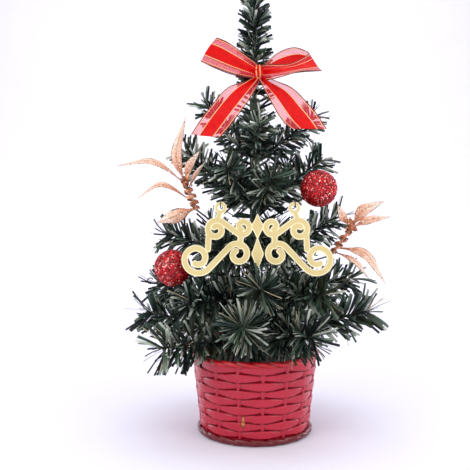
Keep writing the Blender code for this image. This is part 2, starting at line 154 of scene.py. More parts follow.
# %% A class for shader expressions
class Shade:
    """One output socket of a node tree, which can be used in Python arithmetic."""

    def __init__(self, tree, socket):
        self.tree = tree
        self.socket = socket

    def node(self, kind, output, settings=None, **inputs):
        made = self.tree.nodes.new(kind)
        for key, value in (settings or {}).items():
            if key == "stops":
                elements = made.color_ramp.elements
                while len(elements) < len(value):
                    elements.new(0.5)
                for element, (position, colour) in zip(elements, value):
                    element.position = position
                    element.color = (*colour, 1)
            else:
                setattr(made, key, value)
        for key, value in inputs.items():
            name = key.replace("_", " ")
            target = next(item for item in made.inputs if item.name == name and item.enabled)
            connect(self.tree, target, value)
        return Shade(self.tree, made.outputs[output])

    def math(self, operation, *values):
        made = self.tree.nodes.new("ShaderNodeMath")
        made.operation = operation
        for target, value in zip(made.inputs, values):
            connect(self.tree, target, value)
        return Shade(self.tree, made.outputs[0])

    def __add__(self, other):
        return self.math("ADD", self, other)

    def __sub__(self, other):
        return self.math("SUBTRACT", self, other)

    def __rsub__(self, other):
        return self.math("SUBTRACT", other, self)

    def __mul__(self, other):
        return self.math("MULTIPLY", self, other)

    def __truediv__(self, other):
        return self.math("DIVIDE", self, other)

    __radd__ = __add__
    __rmul__ = __mul__

    def step(self, low, high):
        """0 below low, 1 above high, and smooth between; low may be the greater."""
        return self.node("ShaderNodeMapRange", "Result", {"interpolation_type": "SMOOTHSTEP"},
                         Value=self, From_Min=low, From_Max=high)

    def band(self, low, high, soft):
        """1 between low and high."""
        return self.step(low - soft, low + soft) * self.step(high + soft, high - soft)

    def sine(self):
        return self.math("SINE", self)

    def ribs(self):
        """Rises and falls between 0 and 1, once in each full turn of this."""
        return self.sine() * 0.5 + 0.5

    def size(self):
        return self.math("ABSOLUTE", self)

    def mix(self, first, second):
        """A colour that goes from first to second as this goes from 0 to 1."""
        made = self.tree.nodes.new("ShaderNodeMix")
        made.data_type = "RGBA"
        connect(self.tree, made.inputs[0], self)
        connect(self.tree, made.inputs[6], first)
        connect(self.tree, made.inputs[7], second)
        return Shade(self.tree, made.outputs[2])


def connect(tree, target, value):
    if isinstance(value, Shade):
        tree.links.new(value.socket, target)
    elif isinstance(value, tuple) and len(value) == 3 and target.type == "RGBA":
        target.default_value = (*value, 1)
    else:
        target.default_value = value


class Finish:
    """A material under construction: its shader, its coordinates and its textures."""

    def __init__(self, name, colour, roughness, metallic=0.0, **constants):
        self.material = bpy.data.materials.new(name)
        self.material.use_nodes = True
        self.tree = self.material.node_tree
        self.shader = self.tree.nodes["Principled BSDF"]
        self.set(Base_Color=colour, Roughness=roughness, Metallic=metallic, **constants)
        self.maker = Shade(self.tree, None)

    def set(self, **inputs):
        for key, value in inputs.items():
            connect(self.tree, self.shader.inputs[key.replace("_", " ")], value)

    def place(self, kind="Object"):
        """Object coordinates, or the piece's own UV map."""
        return Shade(self.tree, self.tree.nodes.new("ShaderNodeTexCoord").outputs[kind])

    def attribute(self, name):
        return self.maker.node("ShaderNodeAttribute", "Fac", {"attribute_name": name})

    def axes(self, vector):
        made = self.maker.node("ShaderNodeSeparateXYZ", "X", Vector=vector).socket.node
        return [Shade(self.tree, socket) for socket in made.outputs]

    def stretched(self, vector, scale):
        return self.maker.node("ShaderNodeMapping", "Vector", Vector=vector, Scale=scale)

    def noise(self, vector, scale, detail=3.0):
        return self.maker.node("ShaderNodeTexNoise", "Fac", Vector=vector, Scale=scale, Detail=detail)

    def cells(self, vector, scale):
        """A random number for each small cell."""
        colour = self.maker.node("ShaderNodeTexVoronoi", "Color", Vector=vector, Scale=scale)
        return self.maker.node("ShaderNodeSeparateColor", "Red", Color=colour)

    def ramp(self, factor, *stops):
        return self.maker.node("ShaderNodeValToRGB", "Color", {"stops": stops}, Fac=factor)

    def bump(self, height, distance, strength=1.0):
        self.set(Normal=self.maker.node("ShaderNodeBump", "Normal", Height=height, Distance=distance,
                                        Strength=strength))


def put_on(finish, *objects):
    for obj in objects:
        obj.data.materials.clear()
        obj.data.materials.append(finish.material)


def give(obj, name, values):
    """Stores a number on each vertex, for the object's finish to read."""
    obj.data.attributes.new(name, "FLOAT", "POINT").data.foreach_set("value", values)


def thicken(sheet, thickness):
    solidify = sheet.modifiers.new("thickness", "SOLIDIFY")
    solidify.thickness = thickness
    solidify.offset = 0


def srgb(red, green, blue):
    """A colour in the shader's linear light, from the 0 to 255 numbers of a paint chart."""
    return tuple(((channel / 255 + 0.055) / 1.055) ** 2.4 if channel > 10 else channel / 255 / 12.92
                 for channel in (red, green, blue))


backdrop = Finish("pale_paper", srgb(235, 233, 245), 0.8)
paper_grain = backdrop.noise(backdrop.place(), 12)
backdrop.set(Base_Color=paper_grain.mix(srgb(232, 230, 243), srgb(237, 235, 246)))
put_on(backdrop, floor)

# %% [markdown]
# ## Needle branches
# A tinsel branch is a fringe of thin plastic strips locked between two twisted wires. The strips stand out
# all round and lean towards the tip. One needle is a cube pulled into a strip, cut across and bent; it is
# copied along the wire at a steady turn, with a little randomness in its lean, length and roll. Each
# needle also carries its own shade, so that no two neighbours look the same.

# %% One needle
NEEDLE_WIDTH = 1.3 * MM
NEEDLE_THICKNESS = 0.16 * MM
NEEDLE_LENGTH = 13.5 * MM
NEEDLE_CUTS = 2
THREAD_WIDTH = 0.3 * MM
THREADS = 0.05  # share of needles that are only a pale thread of film
THREAD_SHADE = 2  # past every needle's shade, which marks a thread
COMB = 3  # needles that were slit from one strip of film and still lie side by side
COMB_TURN = 2.4  # from one comb to the next round the wire, in radians
NEEDLE_TURN = 0.13
TRIES = 4  # how often a needle that would enter a solid piece is pressed closer to its wire
PRESSED = 0.62


def needle_mesh(name, bow):
    """A flat square-ended strip of unit length along Z, whose middle is bowed sideways."""
    bm = bmesh.new()
    bmesh.ops.create_cube(bm, size=1, matrix=Matrix.Translation((0, 0, 0.5)))
    long_edges = [edge for edge in bm.edges if abs(edge.verts[0].co.z - edge.verts[1].co.z) > 0.5]
    bmesh.ops.subdivide_edges(bm, edges=long_edges, cuts=NEEDLE_CUTS)
    for vert in bm.verts:
        root_taper = 0.6 + 0.4 * min(1, 3 * vert.co.z)
        vert.co.x *= root_taper
        vert.co.y += bow * 4 * vert.co.z * (1 - vert.co.z) / NEEDLE_THICKNESS
    return mesh_from(bm, name)


NEEDLES = [needle_mesh("needle", bow * MM) for bow in (0.15, 0.5, 0.9, -0.4)]
NEEDLE_POINTS = len(NEEDLES[0].vertices)
print("points in one needle:", NEEDLE_POINTS)

# %% Keep needles out of the solid pieces
SOLID_NODES = ["pot_shell", "plaque", "ball_left", "ball_right", "bow_loop_left", "bow_loop_right",
               "bow_tail_left", "bow_tail_right", "bow_knot"]
graph = bpy.context.evaluated_depsgraph_get()
SOLIDS = [BVHTree.FromObject(frame["nodes"][name], graph) for name in SOLID_NODES]


def clear_of_solids(start, end):
    path = end - start
    length = path.length + 0.5 * MM
    return all(solid.ray_cast(start, path.normalized(), length)[0] is None for solid in SOLIDS)


# %% A brush of needles along a wire
def brush(name, root, along, sideways, start, length, per_mm, reach, lean_root, lean_tip, seed):
    """Needles from start to length along a wire that begins at root."""
    random = np.random.default_rng(seed)
    upward = along.cross(sideways)
    count = int((length - start) / MM * per_mm)
    bm = bmesh.new()
    shades = []
    for number in range(count):
        share = (number + 0.5) / count
        distance = start + (length - start) * share
        if number % COMB == 0:
            comb_lean = random.normal(0, 8)
        turn = number // COMB * COMB_TURN + number % COMB * NEEDLE_TURN + random.normal(0, 0.12)
        radial = sideways * math.cos(turn) + upward * math.sin(turn)
        lean = math.radians(lean_root + (lean_tip - lean_root) * share**2 + comb_lean + random.normal(0, 6))
        size = reach * random.uniform(0.8, 1.1)
        base = root + along * distance
        for _ in range(TRIES):
            pointing = along * math.cos(lean) + radial * math.sin(lean)
            if clear_of_solids(base, base + pointing * size):
                break
            lean *= PRESSED
        else:
            continue
        flat = pointing.cross(along).normalized()
        turned = Matrix((flat.cross(pointing), flat, pointing)).transposed().to_4x4()
        roll = Matrix.Rotation(random.normal(0, 0.5), 4, "Z")
        thread = random.random() < THREADS
        width = THREAD_WIDTH if thread else NEEDLE_WIDTH * random.uniform(0.8, 1.1)
        scale = Matrix.Diagonal((width, NEEDLE_THICKNESS, size, 1))
        bm.from_mesh(NEEDLES[number % len(NEEDLES)])
        bm.verts.ensure_lookup_table()
        fresh = bm.verts[-NEEDLE_POINTS:]
        bmesh.ops.transform(bm, matrix=Matrix.Translation(base) @ turned @ roll @ scale, verts=fresh)
        shades.append(THREAD_SHADE if thread else random.random())
    tuft = finished(bm, name, smooth=False)
    give(tuft, "shade", np.repeat(shades, NEEDLE_POINTS))
    # Each point's place along its needle, from root to tip, which the finish uses to paint shade towards the
    # wire.
    give(tuft, "end", np.tile([vert.co.z for vert in NEEDLES[0].vertices], len(shades)))
    return tuft


def twisted_wire(name, root, along, sideways, length, strand, pitch):
    """Two round strands wound round each other, each a small circle spun upwards in a screw."""
    bm = bmesh.new()
    turns = length / pitch
    steps = max(6, int(turns * 8))
    for side in (1, -1):
        ring = bmesh.ops.create_circle(bm, cap_ends=True, segments=6, radius=strand)["verts"]
        bmesh.ops.transform(bm, matrix=Matrix.Translation((side * strand, 0, 0)), verts=ring)
        faces = list({face for vert in ring for face in vert.link_faces})
        bmesh.ops.spin(bm, geom=ring + faces + list({edge for vert in ring for edge in vert.link_edges}),
                       cent=(0, 0, 0), axis=(0, 0, 1), dvec=(0, 0, length / steps),
                       angle=turns * math.tau, steps=steps, use_duplicate=False)
    bmesh.ops.recalc_face_normals(bm, faces=bm.faces)
    frame_matrix = Matrix((sideways, along.cross(sideways), along)).transposed().to_4x4()
    frame_matrix.translation = root
    bmesh.ops.transform(bm, matrix=frame_matrix, verts=bm.verts)
    return finished(bm, name)


# %% Needle and wire finishes
needles = Finish("needle_plastic", srgb(38, 56, 42), 0.42, Specular_IOR_Level=0.35)
shade = needles.attribute("shade")
end = needles.attribute("end")
streak = needles.noise(needles.place(), 900, 2)
patch = needles.noise(needles.place(), 60, 2)
# Each needle's own random shade and the green patches, plus painted shade that darkens every needle towards
# its root at the wire and lightens it towards its tip.
tone = shade * 0.75 + patch * 0.4 - 0.2 + end * 0.25
# The ramp's blue-black low end is painted deep shade; its pale top is partly the grey-green film and partly
# painted highlight.
needle_green_and_painted_light = needles.ramp(tone, (0.24, srgb(2, 4, 6)), (0.48, srgb(19, 36, 32)),
                            (0.72, srgb(68, 93, 76)), (0.92, srgb(208, 216, 200)))
needle_green_and_painted_light = (patch.step(0.5, 0.62) * 0.35).mix(needle_green_and_painted_light, srgb(58, 66, 30))
needles.set(Base_Color=shade.step(1.2, 1.4).mix(needle_green_and_painted_light, srgb(196, 178, 142)),
            Roughness=streak * 0.25 + 0.24)
needles.bump(streak, 0.05 * MM, 0.5)

lacquer = Finish("green_wire", srgb(34, 38, 28), 0.4, 0.5)
wire_wear = lacquer.noise(lacquer.place(), 700)
lacquer.set(Base_Color=wire_wear.step(0.5, 0.75).mix(srgb(30, 36, 26), srgb(78, 76, 62)),
            Roughness=wire_wear * 0.3 + 0.25)
lacquer.bump(wire_wear, 0.03 * MM)

# %% Make every branch
RING_SIZE = {"bottom": 1.16, "lower": 1.04, "middle": 0.96, "upper": 0.92, "top": 0.85}
BARE_ROOT = 2 * MM
TIP_OVERHANG = 3 * MM  # the last needles reach past the end of their wire
STRAND_RADIUS = 0.42 * MM
STRAND_PITCH = 3.4 * MM
joints = {joint["child"]: joint for joint in frame["joints"]}
branch_names = sorted(name for name in frame["nodes"] if "_branch_" in name)
needle_total = 0
for number, name in enumerate(branch_names):
    joint = joints[name]
    root = Vector(joint["pos_m"])
    sideways = -Vector(joint["axis"]).normalized()
    tip = max((vert.co for vert in frame["nodes"][name].data.vertices), key=lambda co: (co - root).length)
    along = (tip - root).normalized()
    length = (tip - root).length - TIP_OVERHANG
    reach = NEEDLE_LENGTH * RING_SIZE[name.split("_")[0]]
    tuft = brush(f"{name}_tuft", root, along, sideways, BARE_ROOT, length, per_mm=4.8, reach=reach,
                 lean_root=66, lean_tip=54, seed=number)
    put_on(needles, tuft)
    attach(tuft, name)
    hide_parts(name)
    strands = twisted_wire(f"{name}_strands", root, along, sideways, length, STRAND_RADIUS, STRAND_PITCH)
    put_on(lacquer, strands)
    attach(strands, name)
    needle_total += len(tuft.data.vertices) // NEEDLE_POINTS
print("branches:", len(branch_names), "needles:", needle_total)

# %% The leader and the needles close to the trunk
EAST = Vector((1, 0, 0))
leader_low, leader_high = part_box("leader_needles")
leader = brush("leader_tuft", Vector((0, 0, leader_low.z)), UP, EAST, BARE_ROOT,
               leader_high.z - leader_low.z - 4 * MM, per_mm=7.5, reach=10.2 * MM,
               lean_root=84, lean_tip=46, seed=501)
_, wrap_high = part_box("trunk_wrap")
collar = brush("trunk_tuft", Vector((0, 0, 0)), UP, EAST, 48 * MM, wrap_high.z, per_mm=2.2,
               reach=13 * MM, lean_root=80, lean_tip=60, seed=502)
for tuft in (leader, collar):
    put_on(needles, tuft)
    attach(tuft, "tree")
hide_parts("leader_needles")
put_on(lacquer, frame["nodes"]["trunk_wire"])

# %% [markdown]
# ## The woven pot
# The pot is one moulding that copies a basket: flat weavers pass in front of one stake and behind the
# next, row by row, between a rope lip and a rope foot. It could be modelled strand by strand, but the real
# one has no separate strands. So a plain wall is spun, and then its surface is moved in and out by the
# rule of a plain weave, which keeps it one skin.

# %% Measures of the weave
_, pot_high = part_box("pot_shell")
POT_HEIGHT = pot_high.z
STAKES = 16
STAKE_TURN = math.radians(5.6)
ROWS = 9
ROW_SAMPLES = 12
STAKE_SAMPLES = 20
WALL_LOW = 3.6 * MM
WALL_HIGH = POT_HEIGHT - 2.4 * MM
WALL_TOP_RADIUS = pot_high.x - 1.3 * MM
WALL_LOW_RADIUS = WALL_TOP_RADIUS - 4.3 * MM
OVER = 0.85 * MM
SLIT_DEPTH = 0.8 * MM
ROW_SWELL = 0.25 * MM
STAKE_HALF = 0.85 * MM
STAKE_GATHER = 1.8  # above 1, this draws the vertices together at the stakes, where the shape turns fast


def spun(profile, steps, closed=False):
    """A skin of revolution round the trunk from a profile of (radius, height)."""
    bm = bmesh.new()
    chain = [bm.verts.new((radius, 0, height)) for radius, height in profile]
    pairs = list(zip(chain, chain[1:])) + ([(chain[-1], chain[0])] if closed else [])
    edges = [bm.edges.new(pair) for pair in pairs]
    bmesh.ops.spin(bm, geom=chain + edges, cent=(0, 0, 0), axis=(0, 0, 1), angle=math.tau, steps=steps,
                   use_merge=True, use_duplicate=False)
    bmesh.ops.remove_doubles(bm, verts=bm.verts, dist=0.001 * MM)
    bmesh.ops.recalc_face_normals(bm, faces=bm.faces)
    return bm


# %% Weave the wall
def ramp_up(value, low, high):
    share = min(max((value - low) / (high - low), 0), 1)
    return share * share * (3 - 2 * share)


def woven_wall():
    profile = [(1, row + 0.5 - 0.5 * math.cos(math.pi * step / ROW_SAMPLES))
               for row in range(ROWS) for step in range(ROW_SAMPLES)]
    bm = spun([*profile, (1, ROWS)], STAKES * STAKE_SAMPLES)
    row_height = (WALL_HIGH - WALL_LOW) / ROWS
    gaps = bm.verts.layers.float.new("depth")
    for vert in bm.verts:
        stake = (math.atan2(vert.co.x, -vert.co.y) - STAKE_TURN) / math.tau * STAKES
        nearest = round(stake)
        stake = nearest + math.copysign(abs(2 * (stake - nearest)) ** STAKE_GATHER / 2, stake - nearest)
        row = min(int(vert.co.z + 1e-6), ROWS - 1)
        share = vert.co.z - row
        over = math.cos(math.pi * (stake - row))
        low_swell = 0 if row == 0 else ROW_SWELL * over
        high_swell = 0 if row == ROWS - 1 else ROW_SWELL * over
        height = WALL_LOW + row * row_height - low_swell
        height += share * (row_height + low_swell + high_swell)
        across = abs(2 * share - 1)
        # Slits open between the rows where the weaver goes behind a stake, and it dips beside that stake.
        from_stake = abs(stake - nearest) * math.tau * WALL_TOP_RADIUS / STAKES
        taper = 0.06 + 0.32 * (0.5 - 0.5 * over) ** 1.3
        slit = ramp_up(across, 1 - taper, 1 - 0.7 * taper)
        dip = ramp_up(1.9 * MM - from_stake, 0, 1.0 * MM) if over < 0 else 0
        weaver = OVER * (0.5 + 0.5 * over) * (1 - 0.16 * across**4) - SLIT_DEPTH * max(slit, 0.8 * dip)
        stake_front = 0.6 * OVER * (1 - (from_stake / STAKE_HALF) ** 4)
        on_stake = over < 0 and stake_front > weaver
        rise = stake_front if on_stake else weaver
        slope = (height - WALL_LOW) / (WALL_HIGH - WALL_LOW)
        radius = WALL_LOW_RADIUS + (WALL_TOP_RADIUS - WALL_LOW_RADIUS) * slope - 0.8 * OVER + rise
        angle = STAKE_TURN + stake / STAKES * math.tau
        vert.co = (radius * math.sin(angle), -radius * math.cos(angle), height)
        # How deep each point lies in a slit, or in the dip beside a stake; the finish paints it darker as
        # painted shade.
        vert[gaps] = 0 if on_stake else max(slit, 0.55 * dip)
    return finished(bm, "pot_weave")


ROPE_SIDES = 24
ROPE_DIP = 0.34


def rope_ring(name, radius, height, thick, tall, strands, steps):
    """A ring twisted like rope: its round section swells and dips along a helix."""
    turns = [math.tau * side / ROPE_SIDES for side in range(ROPE_SIDES)]
    bm = spun([(radius + thick * math.cos(turn), height + tall * math.sin(turn)) for turn in turns],
              steps, closed=True)
    valleys = bm.verts.layers.float.new("depth")
    for vert in bm.verts:
        angle = math.atan2(vert.co.y, vert.co.x)
        out = math.hypot(vert.co.x, vert.co.y) - radius
        up = vert.co.z - height
        around = math.atan2(up / tall, out / thick)
        valley = (1 - abs(math.cos(0.5 * (strands * angle + 2 * around)))) ** 1.5
        shrink = 1 - ROPE_DIP * valley
        out = radius + out * shrink
        vert.co = (out * math.cos(angle), out * math.sin(angle), height + up * shrink)
        vert[valleys] = valley
    return finished(bm, name)


pot_weave = woven_wall()
pot_lip = rope_ring("pot_lip_rope", WALL_TOP_RADIUS, POT_HEIGHT - 1.5 * MM,
                    thick=1.35 * MM, tall=1.5 * MM, strands=26, steps=416)
pot_foot = rope_ring("pot_foot_rope", WALL_LOW_RADIUS + 0.3 * MM, 2.0 * MM,
                     thick=1.3 * MM, tall=1.75 * MM, strands=22, steps=352)
inner = WALL_TOP_RADIUS - 1.7 * MM
foot = WALL_LOW_RADIUS
liner_profile = [(0.01 * MM, 2 * MM), (inner - 4.4 * MM, 2 * MM), (inner, POT_HEIGHT - 0.8 * MM),
                 (inner + 0.6 * MM, POT_HEIGHT - 0.3 * MM), (inner + 1.2 * MM, POT_HEIGHT - 0.8 * MM),
                 (inner + 1.2 * MM, POT_HEIGHT - 1.6 * MM), (inner + 0.05 * MM, POT_HEIGHT - 2.2 * MM),
                 (inner - 4.2 * MM, 3.4 * MM), (foot - 0.6 * MM, 3 * MM), (foot - 0.6 * MM, 0.1 * MM),
                 (foot - 1.2 * MM, 0), (foot - 4 * MM, 0), (foot - 4.6 * MM, 0.7 * MM),
                 (0.01 * MM, 0.7 * MM)]
pot_liner = finished(spun(liner_profile, 96, closed=True), "pot_liner")
pot_liner.data.set_sharp_from_angle(angle=math.radians(35))
print("weave faces:", len(pot_weave.data.polygons))

# %% [markdown]
# ### Its plastic
# Glossy moulded plastic, with painted shade in the slits of the weave, in the valleys of the rope and under
# its foot; a fine orange peel breaks the gloss. The glue that held the gilding left one small brown drop
# near the foot.

# %% Pot finish
gloss_red = Finish("pot_plastic", srgb(200, 52, 74), 0.3, Coat_Weight=0.15, Specular_IOR_Level=0.35)
pot_place = gloss_red.place()
peel = gloss_red.noise(pot_place, 420, 3)
cloud = gloss_red.noise(pot_place, 45, 2)
gap = gloss_red.attribute("depth")
face_red = cloud.mix(srgb(165, 20, 43), srgb(189, 33, 57))
# Painted shade: the slits and dips are painted dark crimson where shade falls in them.
slit_shade_mask = gap.step(0.2, 0.95)
pot_colour = slit_shade_mask.mix(face_red, srgb(104, 0, 14))
pot_x, pot_y, pot_z = gloss_red.axes(pot_place)
DROP_X, DROP_Z = -6.9 * MM, 13 * MM
drop_z = (pot_z - DROP_Z) / (3.6 * MM)
drop_x = (pot_x - DROP_X) / ((DROP_Z - pot_z) * 0.24 + 1.2 * MM)
from_drop = drop_x * drop_x + drop_z * drop_z + peel * 0.5
glued = (pot_y * -1).step(0, 1 * MM)
drop = from_drop.step(1.2, 0.95) * glued
drop_brown = from_drop.step(1.0, 0.45).mix(srgb(104, 44, 24), srgb(196, 116, 72))
pot_colour = drop.mix(pot_colour, drop_brown)
gloss_red.set(Base_Color=pot_colour, Roughness=peel * 0.16 + slit_shade_mask * 0.2 + 0.18)
gloss_red.bump(peel * 0.1 + drop, 0.5 * MM, 0.6)
rope_red = Finish("pot_rope_plastic", srgb(206, 32, 40), 0.25, Coat_Weight=0.2, Specular_IOR_Level=0.4)
rope_peel = rope_red.noise(rope_red.place(), 420, 3)
rope_cloud = rope_red.noise(rope_red.place(), 60, 2)
# Painted shade: the rope is painted darker in the valleys between its strands.
rope_valley_shade = rope_red.attribute("depth").step(0.3, 0.95)
# Painted shade: the rope is painted darker towards the floor, under the foot.
rope_underside_shade = rope_red.axes(rope_red.place())[2].step(20 * MM, 1 * MM)
rope_face = rope_cloud.mix(srgb(170, 6, 18), srgb(202, 16, 26))
rope_face = rope_underside_shade.mix(rope_face, srgb(98, 2, 14))
rope_red.set(Base_Color=rope_valley_shade.mix(rope_face, srgb(96, 0, 12)), Roughness=rope_peel * 0.2 + 0.18)
rope_red.bump(rope_peel, 0.05 * MM, 0.6)
put_on(gloss_red, pot_weave, pot_liner)
put_on(rope_red, pot_lip, pot_foot)
for piece in (pot_weave, pot_lip, pot_foot, pot_liner):
    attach(piece, "tree")
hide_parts("pot_shell")

# %% Cement
cement = Finish("cement", srgb(150, 145, 136), 0.9)
grit = cement.noise(cement.place(), 900, 5)
cement.set(Base_Color=grit.mix(srgb(120, 116, 108), srgb(178, 172, 162)), Roughness=grit * 0.2 + 0.75)
cement.bump(grit, 0.4 * MM)
put_on(cement, frame["nodes"]["cement_plug"])

# %% [markdown]
# ### The taped trunk and the thin wires
# The branches are bound to the trunk with crepe florist's tape, wound up in a screw so that each turn laps
# the one below. Its laps need no geometry: the angle round the trunk plus the height, counted in turns,
# gives a number that steps once at every lap. The picks and ties are plain lacquered wire.

# %% Tape and wire finishes
TAPE_PITCH = 5 * MM
tape = Finish("florist_tape", srgb(34, 48, 30), 0.6)
tape_place = tape.place()
tape_x, tape_y, tape_z = tape.axes(tape_place)
tape_turn = tape.maker.math("ARCTAN2", tape_y, tape_x) / math.tau
lap = tape.maker.math("FRACT", tape_z / TAPE_PITCH + tape_turn)
crepe = tape.noise(tape.stretched(tape_place, (1, 1, 6)), 500, 2)
tape_green = crepe.mix(srgb(30, 46, 30), srgb(60, 78, 54))
# The near-black line along each lap's edge is painted shade where one lap overlaps the next.
tape.set(Base_Color=lap.step(0, 0.12).mix(srgb(12, 18, 12), tape_green), Roughness=crepe * 0.2 + 0.55)
tape.bump(lap.step(0, 0.1) + crepe * 0.3, 0.25 * MM)
put_on(tape, frame["nodes"]["trunk_wrap"])
thin_wires = ["bow_tie_wire", "plaque_tie_left", "plaque_tie_right", "ball_left_pick", "ball_right_pick",
              "spray_left_wire", "spray_right_wire"]
put_on(lacquer, *[frame["nodes"][name] for name in thin_wires])

# %% [markdown]
# ## Bands and bars along a route
# Ribbon, leaves, plaque scrolls and twigs are all made the same way. A flat grid has one row for each
# point of a route. Its rows are moved onto the route, and its columns are spread across it. Spread flat,
# they make a band. Wrapped round a section and welded, they make a solid bar.

# %% Routes
def spread(values, count):
    """count + 1 evenly timed numbers or vectors, on a Catmull-Rom curve through the given ones."""
    points = [2 * values[0] - values[1], *values, 2 * values[-1] - values[-2]]
    spans = len(values) - 1
    result = []
    for step in range(count + 1):
        position = step / count * spans
        span = min(int(position), spans - 1)
        t = position - span
        a, b, c, d = points[span : span + 4]
        result.append(0.5 * (2 * b + (c - a) * t + (2 * a - 5 * b + 4 * c - d) * t**2
                             + (3 * b - a - 3 * c + d) * t**3))
    return result


def smooth_route(controls, count):
    """A route through controls that are given in millimetres."""
    return spread([Vector(control) * MM for control in controls], count)


def headings(route):
    ends = [route[0], *route, route[-1]]
    return [(after - before).normalized() for before, after in zip(ends, ends[2:])]


def length_of(route):
    return sum((after - before).length for before, after in zip(route, route[1:]))


# %% A band and a bar
def surface(route, across, widths, rise):
    """The points of a band: side runs from -1 to 1 across it, and rise lifts it off its flat sheet."""
    ahead = headings(route)

    def place(side, row):
        wide = across[row].normalized()
        out = ahead[row].cross(wide).normalized()
        return route[row] + wide * side * widths[row] / 2 + out * rise(side, row)

    return place


def band(bm, place, rows, columns, uv_length):
    """A sheet over those points, whose UV map runs from 0 to 1 across and from 0 to uv_length along."""
    uv = bm.loops.layers.uv.verify()
    grid = bmesh.ops.create_grid(bm, x_segments=columns, y_segments=rows, size=0.5)["verts"]
    for face in {face for vert in grid for face in vert.link_faces}:
        for loop in face.loops:
            loop[uv].uv = (loop.vert.co.x + 0.5, (loop.vert.co.y + 0.5) * uv_length)
    for vert in grid:
        vert.co = place(2 * vert.co.x, round((vert.co.y + 0.5) * rows))


def bar(bm, route, section, side=UP):
    """A closed bar with the given section of (across, out) corners, whose width stays square to side."""
    columns, rows = len(section), len(route) - 1
    grid = bmesh.ops.create_grid(bm, x_segments=columns, y_segments=rows, size=0.5)["verts"]
    ahead = headings(route)
    for vert in grid:
        row = round((vert.co.y + 0.5) * rows)
        across, out = section[round((vert.co.x + 0.5) * columns) % columns]
        first = ahead[row].cross(side).normalized()
        vert.co = route[row] + first * across + first.cross(ahead[row]) * out
    bmesh.ops.remove_doubles(bm, verts=grid, dist=0.001 * MM)
    rims = [edge for edge in bm.edges if edge.is_boundary]
    bmesh.ops.holes_fill(bm, edges=rims, sides=0)


def round_section(radius, corners=8):
    return [(radius * math.cos(math.tau * corner / corners), radius * math.sin(math.tau * corner / corners))
            for corner in range(corners)]


# %% [markdown]
# ## The ribbon bow
# The ribbon is 15 mm wide, with a satin band down its middle, sheer bands beside it, gold threads between
# them and a fine wire in each edge, which is why its loops keep their shape. Each length is one band whose
# width shrinks into pleats where the knot gathers it. The pattern reads the band's own UV map, so that it
# follows every bend.

# %% Ribbon lengths
RIBBON_WIDTH = 15 * MM
RIBBON_ROWS = 64
RIBBON_COLUMNS = 24
# Each length: points along it in millimetres, directions across it, shares of the full width, how it is held.
BOW = {
    "bow_loop_left": (
        [(0.6, -12, 196.4), (-10, -14, 200.6), (-19, -14, 205), (-25.6, -12.2, 208.2),
         (-19, -9.8, 205.6), (-10, -8.8, 201.2), (0.6, -8.6, 196.8)],
        [(0, 0, 1), (0.3, 0, 1), (0.5, 0, 1), (0.67, 0, 1), (0.5, 0, 1), (0.3, 0, 1), (0, 0, 1)],
        [0.5, 0.85, 1, 1, 1, 0.85, 0.5], "gathered"),
    "bow_loop_right": (
        [(3.4, -12, 195.8), (13, -15, 195.6), (23.5, -16.6, 197.4), (32, -13.2, 200.8),
         (24.5, -9.4, 203.4), (14, -8.8, 201.4), (3.4, -8.6, 196.6)],
        [(0, 0, 1), (0.05, 0.7, 0.8), (-0.25, 0.9, 0.7), (-0.55, 0.4, 0.9), (-0.5, -0.1, 1),
         (-0.3, 0, 1), (0, 0, 1)],
        [0.45, 0.7, 0.9, 0.86, 0.95, 0.8, 0.45], "gathered"),
    "bow_tail_left": (
        [(1, -11, 193), (-9, -16, 183.4), (-18, -22, 171), (-26, -26.5, 159)],
        [(1, 0, 0), (1, 0, -0.5), (1, 0, -0.3), (1, 0, -0.1)], [0.35, 0.85, 1, 1], "hung"),
    "bow_tail_right": (
        [(4, -11, 193), (13, -16, 183.6), (20, -22, 173), (27, -27, 162.5)],
        [(1, 0, 0), (1, 0, 0.5), (1, 0, 0.4), (1, 0, 0)], [0.35, 0.85, 1.1, 1.2], "hung"),
}


def pleats(widths, phase):
    """How far a ribbon stands off its flat sheet: it crumples where it is gathered."""
    def rise(side, row):
        slack = max(0, 0.84 - widths[row] / RIBBON_WIDTH)
        crumple = math.sin(7.5 * side + phase + row * 0.02) * slack * 2.8
        return (crumple + 0.32 * side * side + 0.22 * math.sin(row * 0.21 + 2 * side + phase)) * MM

    return rise


gathering = np.random.default_rng(7)
ribbons, edge_wires = [], []
for name, (controls, across, widths, held) in BOW.items():
    route = smooth_route(controls, RIBBON_ROWS)
    across = spread([Vector(direction) for direction in across], RIBBON_ROWS)
    widths = [share * RIBBON_WIDTH for share in spread(widths, RIBBON_ROWS)]
    place = surface(route, across, widths, pleats(widths, gathering.uniform(0, math.tau)))
    flat_length = length_of(route)
    ribbon_bm = bmesh.new()
    band(ribbon_bm, place, RIBBON_ROWS, RIBBON_COLUMNS, flat_length / RIBBON_WIDTH)
    ribbon = finished(ribbon_bm, f"{name}_ribbon")
    thicken(ribbon, 0.1 * MM)
    hem_bm = bmesh.new()
    for side in (-1, 1):
        bar(hem_bm, [place(side, row) for row in range(0, RIBBON_ROWS + 1, 2)], round_section(0.22 * MM, 6),
            Vector((0.2, 1, 0.1)).normalized())
    bmesh.ops.recalc_face_normals(hem_bm, faces=hem_bm.faces)
    hem = finished(hem_bm, f"{name}_edge_wires")
    for piece in (ribbon, hem):
        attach(piece, "tree")
    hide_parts(name)
    ribbons.append(ribbon)
    edge_wires.append(hem)
    print(name, "is cut", round(flat_length / MM), "mm long")

# %% The knot
knot_low, knot_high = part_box("bow_knot")
knot_middle = (knot_low + knot_high) / 2
knot_half = (knot_high - knot_low) / 2


def knot_stripes(x):
    """Folded over itself, the ribbon shows two of its gold threads side by side on the knot."""
    turns = (-1, -0.78, -0.68, -0.5, -0.4, -0.15, 0.02, 0.12, 0.3, 0.4, 1)
    return float(np.interp(x, turns, (0.5, 0.3, 0.265, 0.265, 0.3, 0.5, 0.7, 0.735, 0.735, 0.7, 0.5)))


